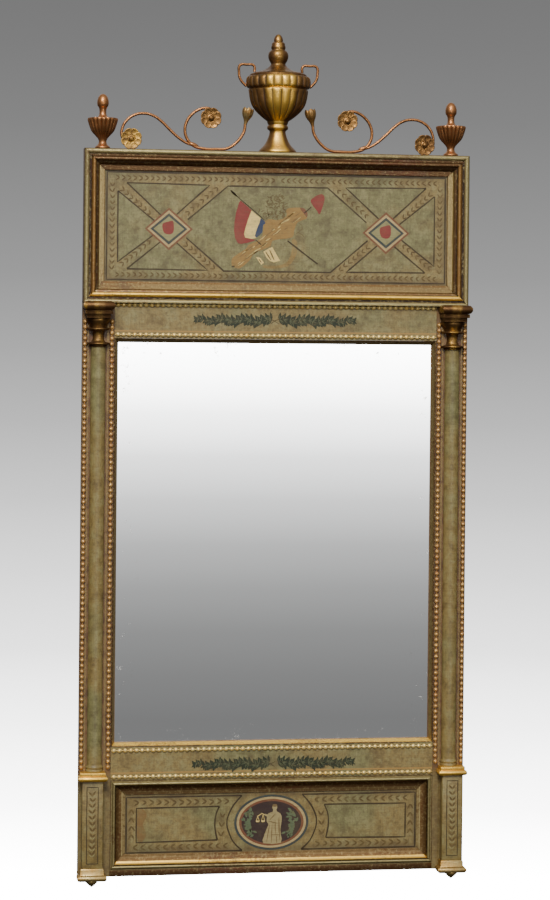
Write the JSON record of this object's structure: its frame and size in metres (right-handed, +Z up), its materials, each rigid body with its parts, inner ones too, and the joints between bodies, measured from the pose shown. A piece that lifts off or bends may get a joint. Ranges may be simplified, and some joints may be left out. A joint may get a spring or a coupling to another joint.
{
  "type": "trumeau mirror",
  "caption": "Tall wall mirror in a painted and gilded frame: engaged columns, pearl-bead rows, a moulded painted panel above the glass and one below, urn, wire scrolls and corner finials.",
  "frame": {"origin": "centre of the rear face of the hanging rail, on the wall plane", "axes": "+Z up, +X to the viewer's right when facing the glass, -Y out of the wall towards the viewer"},
  "size_m": [0.6638, 0.0742, 1.4386],
  "materials": {
    "painted_wood": "aged distemper paint, mottled sage green",
    "gilt_wood": "worn water gilding over red bole",
    "bright_gilt": "burnished gilding, worn on the high points",
    "gilt_iron": "oil gilded wire, coppery",
    "bare_wood": "bare, aged",
    "mirror_plate": "silvered",
    "backing": "thin bare board",
    "steel": "dull steel"
  },
  "bodies": {
    "mirror": {"stile_left": "gilt_wood", "stile_right": "gilt_wood", "upper_frieze_board": "painted_wood", "lower_frieze_board": "painted_wood", "upper_panel": "painted_wood", "lower_panel": "painted_wood", "sight_moulding_bottom": "gilt_wood", "sight_moulding_top": "gilt_wood", "sight_moulding_left": "gilt_wood", "sight_moulding_right": "gilt_wood", "mirror_glass": "mirror_plate", "backing_board": "backing", "box_moulding_bottom": "gilt_wood", "box_moulding_top": "gilt_wood", "box_moulding_left": "gilt_wood", "box_moulding_right": "gilt_wood", "panel_moulding_bottom": "gilt_wood", "panel_moulding_top": "gilt_wood", "panel_moulding_left": "gilt_wood", "panel_moulding_right": "gilt_wood", "beads_left_outer": "bright_gilt", "beads_left_inner": "bright_gilt", "beads_right_outer": "bright_gilt", "beads_right_inner": "bright_gilt", "beads_upper_frieze_top": "bright_gilt", "beads_upper_frieze_bottom": "bright_gilt", "beads_lower_frieze_top": "bright_gilt", "beads_lower_frieze_bottom": "bright_gilt", "column_shaft_left": "painted_wood", "column_shaft_right": "painted_wood", "plinth_left": "painted_wood", "plinth_right": "painted_wood", "capital_left": "gilt_wood", "capital_right": "gilt_wood", "abacus_left": "bright_gilt", "abacus_right": "bright_gilt", "plinth_cap_left": "bright_gilt", "plinth_cap_right": "bright_gilt", "plinth_base_left": "bright_gilt", "plinth_base_right": "bright_gilt", "urn_foot": "bright_gilt", "urn_bowl": "bright_gilt", "urn_lid": "gilt_wood", "urn_handle_left": "gilt_iron", "urn_handle_right": "gilt_iron", "scroll_wire_left": "gilt_iron", "scroll_wire_right": "gilt_iron", "corner_finial_left": "gilt_wood", "corner_finial_right": "gilt_wood", "rosette_inner_left": "bright_gilt", "rosette_inner_right": "bright_gilt", "rosette_outer_left": "bright_gilt", "rosette_outer_right": "bright_gilt", "hanging_rail": "bare_wood", "back_batten_left": "bare_wood", "back_batten_right": "bare_wood", "screw_eye_left": "steel", "screw_eye_right": "steel"},
    "ring_left": {"hanging_ring_left": "steel"},
    "ring_right": {"hanging_ring_right": "steel"}
  },
  "joints": [
    {"name": "ring_left_swing", "type": "hinge", "parent": "mirror", "child": "ring_left", "pos_m": [-0.312, -0.0108, -0.067], "axis": [1, 0, 0], "range_deg": [0, 180]},
    {"name": "ring_right_swing", "type": "hinge", "parent": "mirror", "child": "ring_right", "pos_m": [0.312, -0.0108, -0.067], "axis": [1, 0, 0], "range_deg": [0, 180]}
  ]
}
